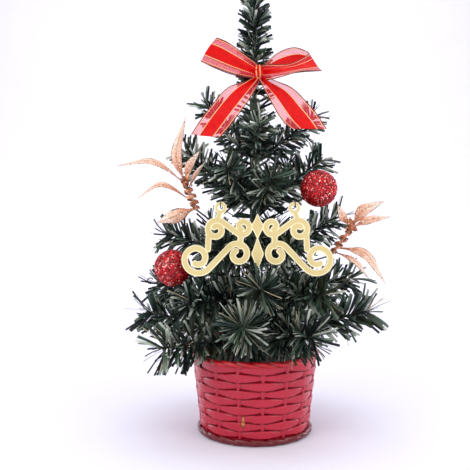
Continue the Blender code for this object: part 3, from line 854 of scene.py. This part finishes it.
knot_bm = bmesh.new()
bmesh.ops.create_cube(knot_bm, size=2)
bmesh.ops.subdivide_edges(knot_bm, edges=knot_bm.edges, cuts=25, use_grid_fill=True)
knot_uv = knot_bm.loops.layers.uv.verify()
for face in knot_bm.faces:
    for loop in face.loops:
        x, _, z = loop.vert.co
        loop[knot_uv].uv = (knot_stripes(x + 0.08 * z), 0.5 * z)
for vert in knot_bm.verts:
    x, y, z = vert.co
    swell = 1 - 0.22 * z * z
    ridge = 0.42 * MM * abs(math.cos(4.1 * x + 0.9 * z * x)) * (1 - 0.3 * z * z)
    round_x = x * math.sqrt(1 - 0.42 * y * y) * swell
    round_y = y * math.sqrt(1 - 0.45 * x * x) * (1 - 0.34 * z * z)
    round_z = z * math.sqrt(1 - 0.38 * max(x * x, y * y))
    vert.co = knot_middle + Vector((round_x * knot_half.x, round_y * (knot_half.y + ridge),
                                    round_z * knot_half.z))
knot = finished(knot_bm, "bow_knot_folds")
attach(knot, "tree")
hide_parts("bow_knot")

# %% Ribbon finish
satin = Finish("ribbon_satin", srgb(226, 12, 20), 0.35, Specular_IOR_Level=0.14)
ribbon_map = satin.place("UV")
ribbon_u, ribbon_v, _ = satin.axes(ribbon_map)
wander = satin.noise(satin.stretched(ribbon_map, (3, 1.2, 1)), 1.6, 2) * 0.012 - 0.006
u = ribbon_u + wander
SOFT = 0.004
middle_band = u.band(0.285, 0.715, SOFT)
inner_threads = u.band(0.25, 0.28, SOFT) + u.band(0.72, 0.75, SOFT)
threads = inner_threads + u.band(0.035, 0.058, SOFT) + u.band(0.942, 0.965, SOFT)
rib = (ribbon_v * 420).ribs()
weft = (ribbon_u * 330).ribs()
cloud = satin.noise(ribbon_map, 5, 3)
satin_red = cloud.mix(srgb(176, 0, 0), srgb(244, 3, 4))
sheer = rib.mix(srgb(216, 20, 42), srgb(240, 72, 90))
thread_gold = (ribbon_v * 90).sine().step(-0.9, 0.4).mix(srgb(222, 120, 60), srgb(255, 222, 160))
colour = threads.mix(middle_band.mix(sheer, satin_red), thread_gold)
solid = satin.maker.math("MAXIMUM", middle_band, threads)
satin.set(Base_Color=colour, Roughness=cloud * 0.2 + 0.26 + threads * 0.05,
          Alpha=solid.step(0.1, 0.9) * 0.58 + rib * weft * 0.12 + 0.34, Metallic=threads * 0.35)
satin.bump(threads * 1.5 + rib * 0.5 + weft * 0.2, 0.06 * MM)
put_on(satin, *ribbons, knot)
hem_thread = Finish("ribbon_edge_wire", srgb(92, 16, 26), 0.45)
hem_noise = hem_thread.noise(hem_thread.place(), 900)
hem_thread.set(Base_Color=hem_noise.step(0.45, 0.6).mix(srgb(78, 8, 20), srgb(140, 44, 44)),
               Roughness=hem_noise * 0.3 + 0.3)
put_on(hem_thread, *edge_wires)

# %% [markdown]
# ## Glitter balls
# A glitter ball is a foam bead rolled in glue and then in flakes. Painting the flakes on would leave the
# outline smooth, so each one is a real six-sided flake, one face, laid on the ball with its own small tilt.
# The tilt is what makes some of them flash and leaves their neighbours dark.

# %% Bead and flakes
FLAKE_RADIUS = 0.42 * MM
FLAKES = 2600
FLAKE_CORNERS = 6
GOLDEN_TURN = 2.39996  # in radians, this spaces points evenly over a ball
flake_bm = bmesh.new()
bmesh.ops.create_circle(flake_bm, cap_ends=True, segments=FLAKE_CORNERS, radius=1)
flake_mesh = mesh_from(flake_bm, "flake")


def glitter_ball(side, seed):
    low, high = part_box(f"ball_{side}")
    centre = (low + high) / 2
    radius = (high.z - low.z) / 2 - 0.25 * MM
    random = np.random.default_rng(seed)
    bead = bmesh.new()
    bmesh.ops.create_icosphere(bead, subdivisions=5, radius=radius)
    for vert in bead.verts:
        vert.co = centre + vert.co * (1 + random.normal(0, 0.004))
    bead = finished(bead, f"ball_{side}_bead")
    bm = bmesh.new()
    tones = []
    for number in range(FLAKES):
        height = 1 - 2 * (number + 0.5) / FLAKES
        turn = number * GOLDEN_TURN + random.normal(0, 0.03)
        ring = math.sqrt(1 - height * height)
        outward = Vector((ring * math.cos(turn), ring * math.sin(turn), height))
        tilt = (outward + Vector(random.normal(0, 0.3, 3))).normalized()
        size = FLAKE_RADIUS * random.uniform(0.6, 1.15)
        place = Matrix.Translation(centre + outward * (radius + random.uniform(0.02, 0.3) * MM))
        turned = tilt.to_track_quat("Z", "Y").to_matrix().to_4x4()
        bm.from_mesh(flake_mesh)
        bm.verts.ensure_lookup_table()
        fresh = bm.verts[-FLAKE_CORNERS:]
        bmesh.ops.transform(bm, matrix=place @ turned @ Matrix.Scale(size, 4), verts=fresh)
        tones.append(random.random())
    flakes = finished(bm, f"ball_{side}_flakes", smooth=False)
    give(flakes, "shade", np.repeat(tones, FLAKE_CORNERS))
    for piece in (bead, flakes):
        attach(piece, f"ball_{side}")
    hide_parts(f"ball_{side}")
    return bead, flakes


glue_red = Finish("glitter_glue", srgb(120, 2, 10), 0.4)
glue_grain = glue_red.noise(glue_red.place(), 1400)
glue_red.set(Base_Color=glue_grain.mix(srgb(70, 0, 4), srgb(165, 6, 18)), Roughness=glue_grain * 0.3 + 0.25)
glue_red.bump(glue_grain, 0.2 * MM)
flake_red = Finish("glitter_flakes", srgb(200, 10, 20), 0.25, 0.6)
tone = flake_red.attribute("shade")
flake_red.set(Base_Color=flake_red.ramp(tone, (0.1, srgb(120, 0, 8)), (0.5, srgb(206, 8, 20)),
                                        (0.8, srgb(240, 44, 52)), (0.97, srgb(255, 190, 180))),
              Roughness=tone * 0.15 + 0.18, Metallic=tone.step(0.0, 0.9) * 0.4 + 0.35)
for side, seed in (("left", 11), ("right", 12)):
    bead, flakes = glitter_ball(side, seed)
    put_on(glue_red, bead)
    put_on(flake_red, flakes)
print("flakes on each ball:", FLAKES)

# %% The left pick's curled end
HOOK_RADIUS = 1.5 * MM
ball_low, ball_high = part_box("ball_left")
curl_end = Vector((ball_low.x - 1.6 * MM, (ball_low.y + ball_high.y) / 2 - 3 * MM, ball_low.z + 3 * MM))
hook = [curl_end + Vector((6 * MM, 3 * MM, 1 * MM)), curl_end + Vector((2 * MM, 0, -1.6 * MM))]
for step in range(9):
    angle = math.radians(-60 - 34 * step)
    hook.append(curl_end + Vector((math.cos(angle), 0, math.sin(angle))) * HOOK_RADIUS)
hook_bm = bmesh.new()
bar(hook_bm, hook, round_section(0.3 * MM), Vector((0, 1, 0)))
bmesh.ops.recalc_face_normals(hook_bm, faces=hook_bm.faces)
pick_end = finished(hook_bm, "ball_left_pick_end")
put_on(lacquer, pick_end)
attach(pick_end, "ball_left")

# %% [markdown]
# ## The gilded plaque
# The plaque is a flat plastic casting with a raised rim all round its outline, plated in pale gold. Where
# two bars meet, the rim runs round both and never across one, so the bars can't be modelled one by one.
# Instead the outline is a distance: how far a point lies outside the nearest bar. A fine grid is cut where
# that distance changes sign, its edge is drawn onto the outline, and then it is made solid and its face
# is sunk wherever the distance says that the rim has ended.

# %% Where the bars run
PLAQUE_BAR = 1.6
CELL = 0.3 * MM
PLAQUE_THICK = 1.5 * MM
RIM_WIDTH = 0.5 * MM
plaque_low, plaque_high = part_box("plaque")
_, plaque_y, eyelet_z = joints["plaque"]["pos_m"]


def volute(centre, outer, inner, start, sweep, steps):
    turns = [(outer + (inner - outer) * step / steps, math.radians(start + sweep * step / steps))
             for step in range(steps + 1)]
    return [(centre[0] + radius * math.cos(angle), centre[1] + radius * math.sin(angle))
            for radius, angle in turns]


def s_scroll(outer_centre, outer_radius, inner_centre, inner_radius, turn):
    """Two volutes that curl opposite ways, joined by the line that touches both."""
    gap = Vector(inner_centre) - Vector(outer_centre)
    lean = 90 - math.degrees(math.asin((outer_radius + inner_radius) / gap.length))
    meeting = math.degrees(math.atan2(gap.y, gap.x)) + turn * lean
    outer = volute(outer_centre, outer_radius, 0.35 * outer_radius, meeting, turn * 430, 48)
    inner = volute(inner_centre, inner_radius, 0.36 * inner_radius, meeting + 180, turn * 370, 40)
    return outer[::-1] + inner


ring = volute((18, eyelet_z / MM), 2.1, 2.1, 0, 360, 24)
# Each bar: its points, then its half width at its first point and at its last, all in millimetres.
half_bars = [
    (s_scroll((29.5, 96.5), 7.6, (9.5, 98.5), 5.6, 1), PLAQUE_BAR, PLAQUE_BAR),
    (s_scroll((20.2, 110.5), 4.9, (7.2, 112), 4, -1), PLAQUE_BAR, PLAQUE_BAR),
    ([(8.4, 102.5), (8.2, 109)], 1.5, 1.5),
    ([(24.2, 101), (23.8, 108)], 1.5, 1.5),
    ([(19.6, 115), (18.4, 118.9)], 1.4, 1.4),
    (ring, 0.95, 0.95),
]
bars = [([(side * x, z) for x, z in points], first, last)
        for side in (1, -1) for points, first, last in half_bars]
for low, high in ((91, 106.5), (106.2, 118)):
    waist = (low + high) / 2
    bars += [([(0, low), (0, waist)], 0.3, 3), ([(0, waist), (0, high)], 3, 0.3)]


# %% The distance to the outline
def outside(points):
    """How far each (x, z) lies outside the nearest bar, in metres; less than 0 inside it."""
    nearest = np.full(len(points), 1.0)
    for route, first, last in bars:
        corners = np.array(route) * MM
        widths = np.linspace(first, last, len(corners)) * MM
        for start, end, wide, narrow in zip(corners, corners[1:], widths, widths[1:]):
            line = end - start
            share = np.clip((points - start) @ line / (line @ line), 0, 1)
            reach = np.linalg.norm(points - start - share[:, None] * line, axis=1)
            nearest = np.minimum(nearest, reach - wide - (narrow - wide) * share)
    return nearest


def flat_points(verts):
    return np.array([(vert.co.x, vert.co.z) for vert in verts])


# %% Cut the plaque from a grid
plaque_bm = bmesh.new()
middle_z = (plaque_low.z + plaque_high.z) / 2
half_x, half_z = plaque_high.x + 2 * CELL, (plaque_high.z - plaque_low.z) / 2 + 2 * CELL
plate = Matrix.Translation((0, plaque_y, middle_z)) @ Matrix.Rotation(math.radians(90), 4, "X")
bmesh.ops.create_grid(plaque_bm, x_segments=round(2 * half_x / CELL), y_segments=round(2 * half_z / CELL),
                      size=1, matrix=plate @ Matrix.Diagonal((half_x, half_z, 1, 1)))
centres = np.array([(face.calc_center_median().x, face.calc_center_median().z) for face in plaque_bm.faces])
unwanted = [face for face, distance in zip(plaque_bm.faces, outside(centres)) if distance > 0]
bmesh.ops.delete(plaque_bm, geom=unwanted, context="FACES")
edge_verts = [vert for vert in plaque_bm.verts if vert.is_boundary]
for _ in range(2):
    here = flat_points(edge_verts)
    distance = outside(here)
    step = 0.02 * MM
    slope = np.stack([outside(here + (step, 0)) - distance, outside(here + (0, step)) - distance], 1) / step
    slope /= np.maximum(np.linalg.norm(slope, axis=1), 0.3)[:, None]
    for vert, move in zip(edge_verts, slope * distance[:, None]):
        vert.co -= Vector((move[0], 0, move[1]))
bmesh.ops.smooth_vert(plaque_bm, verts=edge_verts, factor=0.25, use_axis_x=True, use_axis_z=True)
bmesh.ops.solidify(plaque_bm, geom=plaque_bm.faces, thickness=PLAQUE_THICK)
bmesh.ops.recalc_face_normals(plaque_bm, faces=plaque_bm.faces)
inset = -outside(flat_points(plaque_bm.verts))
front_y = min(vert.co.y for vert in plaque_bm.verts)
for vert, depth in zip(plaque_bm.verts, inset):
    if vert.co.y < front_y + 0.5 * PLAQUE_THICK:
        sunk = min(max((depth - RIM_WIDTH) / (0.3 * MM), 0), 1)
        rounded = min(max(1 - depth / (0.25 * MM), 0), 1)
        vert.co.y += 0.3 * MM * sunk + 0.2 * MM * rounded**2
    vert.co.y += plaque_y - front_y - 0.5 * PLAQUE_THICK
plaque = finished(plaque_bm, "plaque_casting")
plaque.data.set_sharp_from_angle(angle=math.radians(50))
give(plaque, "inset", inset / MM)
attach(plaque, "plaque")
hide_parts("plaque")
print("plaque faces:", len(plaque.data.polygons))

# %% Gilding
gilding = Finish("pale_gilding", srgb(236, 218, 160), 0.32, 0.7)
gold_place = gilding.place()
inset_mm = gilding.attribute("inset")
gold_grain = gilding.noise(gold_place, 900, 4)
gold_cloud = gilding.noise(gold_place, 55, 2)
rim = inset_mm.band(-1, 0.5, 0.08)
field = gold_cloud.mix(srgb(214, 192, 126), srgb(236, 218, 158))
gilding.set(Base_Color=rim.mix(field, srgb(248, 238, 196)),
            Roughness=gold_grain * 0.22 + gold_cloud * 0.1 + 0.2, Metallic=rim * 0.1 + 0.62)
gilding.bump(gold_grain * 0.25 + rim, 0.08 * MM)
put_on(gilding, plaque)

# %% [markdown]
# ## Leaf sprays
# Each spray is a moulded plastic twig of willow leaves, dusted with copper glitter that fades to cream at
# the tips. A leaf is a band that swells and narrows, folded a little along its midrib and waved at its
# edges. Copper curls round the twig, and a few beads on stalks, break up the outline as on the real one.

# %% Where the leaves grow
# Each spray: points up its twig, then its leaves. Each leaf: how far up the twig it grows, from 0 to 1, a
# point midway along it, its tip, and its width. All are in millimetres.
SPRAYS = {
    "left": ([(-31, -18.6, 121), (-34.2, -19.4, 128), (-37, -20, 135)], [
        (1, (-42, -20, 150), (-37, -20, 170), 5.6),
        (1, (-35, -22, 144), (-29.5, -24, 151.5), 4.2),
        (1, (-54, -21, 146.5), (-73.5, -22, 144), 3.3),
        (0.3, (-49, -22, 134.5), (-62, -23, 127), 2.9),
        (0.1, (-41.5, -24, 118), (-51, -26, 114.5), 7.4),
        (0.8, (-31.5, -23, 139.5), (-26.5, -25, 146), 2.6),
    ]),
    "right": ([(40, -15.5, 97), (45.5, -16.3, 104.4), (51, -17, 112)], [
        (1, (57, -17, 121), (68, -18, 126), 6.4),
        (1, (60, -18, 116), (71, -19, 117.5), 4.2),
        (1, (46, -19, 118), (43, -20, 123.5), 5),
        (0.3, (58, -19, 98), (68.7, -19, 82), 5.6),
        (0.15, (52, -20, 94.5), (59, -22, 85.2), 3.4),
    ]),
}
LEAF_OUTLINE = (0.2, 0.26, 0.8, 1, 0.82, 0.45, 0.04)  # widths from root to tip, over the greatest width
LEAF_ROWS = 28
TWIG_RADIUS = 0.8 * MM


# %% Leaves, twig, curls and beads
def leaf(bm, root, middle, tip, width, turn, random):
    route = smooth_route([root, middle, tip], LEAF_ROWS)
    across = (route[-1] - route[0]).cross(Vector((0.15 * turn, -1, 0.2)))
    widths = [share * width * MM for share in spread(LEAF_OUTLINE, LEAF_ROWS)]
    phase = random.uniform(0, math.tau)

    def fold(side, row):
        ridge = 0.16 * widths[row] * (abs(side) ** 1.3 - 0.4)
        wave = 0.05 * widths[row] * side * side * math.sin(0.7 * row + phase + side)
        vein = 0.04 * widths[row] * abs(math.sin(0.9 * row + 2.2 * abs(side)))
        return ridge + wave + vein

    band(bm, surface(route, [across] * len(route), widths, fold), LEAF_ROWS, 12, 1)


def cupped(side, row):
    return 0.1 * MM * side * side


def curl(bm, route, radius, turns, width):
    """A narrow copper band wound round the twig like a tendril."""
    steps = round(turns * 14)
    points = []
    for step in range(steps + 1):
        share = step / steps
        centre = route[0].lerp(route[-1], 0.1 + 0.8 * share)
        angle = math.tau * turns * share
        reach = radius * (1 + 0.5 * math.sin(math.pi * share))
        points.append(centre + Vector((reach * math.cos(angle), reach * math.sin(angle), 0)))
    across = [route[-1] - route[0]] * len(points)
    band(bm, surface(points, across, [width] * len(points), cupped), steps, 3, 1)


leaf_pieces, twig_pieces = [], []
for side, (twig_controls, leaf_list) in SPRAYS.items():
    random = np.random.default_rng(40 + len(leaf_pieces))
    foot, _, hub = (Vector(point) for point in twig_controls)
    leaf_bm = bmesh.new()
    for number, (place, middle, tip, width) in enumerate(leaf_list):
        leaf(leaf_bm, foot.lerp(hub, place), middle, tip, width, number, random)
    leaves = finished(leaf_bm, f"spray_{side}_blades")
    thicken(leaves, 0.28 * MM)
    twig_route = smooth_route(twig_controls, 18)
    curl_bm = bmesh.new()
    curl(curl_bm, twig_route, 1.9 * MM, 3.5, 1.7 * MM)
    for number in range(4):
        direction = Vector(random.normal(0, 1, 3)).normalized()
        direction.y = -abs(direction.y)
        tip = hub + direction * 4.5 + Vector((0, 0, 1.5))
        leaf(curl_bm, hub, hub.lerp(tip, 0.5) + Vector((0, -0.8, 0)), tip, 2.6, number, random)
    curls = finished(curl_bm, f"spray_{side}_curls")
    thicken(curls, 0.22 * MM)
    twig_bm = bmesh.new()
    bar(twig_bm, twig_route, round_section(TWIG_RADIUS, 10), Vector((0, -1, 0)))
    for number in range(5):
        start = foot.lerp(hub, random.uniform(0.5, 1))
        end = start + Vector((random.uniform(-5, 5), random.uniform(-4, -1), random.uniform(2, 7)))
        bend = start.lerp(end, 0.5) + Vector((0, 0, 0.8))
        bar(twig_bm, smooth_route([start, bend, end], 6), round_section(0.2 * MM, 6), Vector((0, -1, 0.1)))
        bead_place = Matrix.Translation(end * MM)
        bmesh.ops.create_icosphere(twig_bm, subdivisions=2, radius=0.55 * MM, matrix=bead_place)
    hub_place = Matrix.Translation(hub * MM)
    bmesh.ops.create_icosphere(twig_bm, subdivisions=3, radius=1.8 * MM, matrix=hub_place)
    bmesh.ops.recalc_face_normals(twig_bm, faces=twig_bm.faces)
    twig = finished(twig_bm, f"spray_{side}_twig")
    for piece in (leaves, curls, twig):
        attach(piece, f"spray_{side}")
    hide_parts(f"spray_{side}_leaves")
    leaf_pieces.append(leaves)
    twig_pieces += [twig, curls]

# %% Leaf finish
willow = Finish("leaf_glitter", srgb(224, 168, 132), 0.4, 0.25)
leaf_u, leaf_v, _ = willow.axes(willow.place("UV"))
leaf_place = willow.place()
leaf_cloud = willow.noise(leaf_place, 160, 3)
glint = willow.cells(leaf_place, 2600)
veins = (leaf_v * 120 + (leaf_u - 0.5).size() * 26).ribs()
from_middle = (leaf_u - 0.5).size() * 2
midrib = from_middle.step(0.16, 0.04)
length_tone = leaf_v + leaf_cloud * 0.5 - 0.25
leaf_colour = willow.ramp(length_tone, (0.02, srgb(140, 74, 42)), (0.22, srgb(206, 134, 96)),
                          (0.5, srgb(238, 186, 156)), (0.85, srgb(250, 226, 204)))
worn_edge = (from_middle + leaf_cloud * 0.5 - 0.25).step(0.8, 0.98) * leaf_cloud.step(0.42, 0.6)
specks = glint.step(0.9, 0.96)
leaf_colour = (midrib * 0.5 + veins * 0.12).mix(leaf_colour, srgb(150, 88, 56))
leaf_colour = worn_edge.mix(leaf_colour, srgb(70, 40, 26))
leaf_colour = (specks * 0.8).mix(leaf_colour, srgb(96, 56, 34))
# The near-white cells are painted glints of the glitter.
leaf_colour = glint.step(0.1, 0.04).mix(leaf_colour, srgb(255, 246, 232))
willow.set(Base_Color=leaf_colour, Roughness=glint * 0.4 + 0.2, Metallic=glint.step(0.5, 0.9) * 0.35 + 0.1)
willow.bump(glint * 0.5 + veins * 0.5 - midrib, 0.12 * MM)
put_on(willow, *leaf_pieces)
copper = Finish("copper_glitter", srgb(176, 96, 56), 0.35, 0.5)
copper_place = copper.place()
copper_cloud = copper.noise(copper_place, 260, 3)
copper_glint = copper.cells(copper_place, 2800)
copper_colour = copper.ramp(copper_cloud, (0.3, srgb(92, 44, 22)), (0.5, srgb(176, 98, 58)),
                            (0.7, srgb(234, 172, 130)))
# The pale cells are painted glints of the copper glitter.
copper.set(Base_Color=copper_glint.step(0.85, 0.95).mix(copper_colour, srgb(255, 226, 196)),
           Roughness=copper_glint * 0.4 + 0.15, Metallic=copper_glint.step(0.3, 0.9) * 0.4 + 0.3)
copper.bump(copper_glint, 0.12 * MM)
put_on(copper, *twig_pieces)
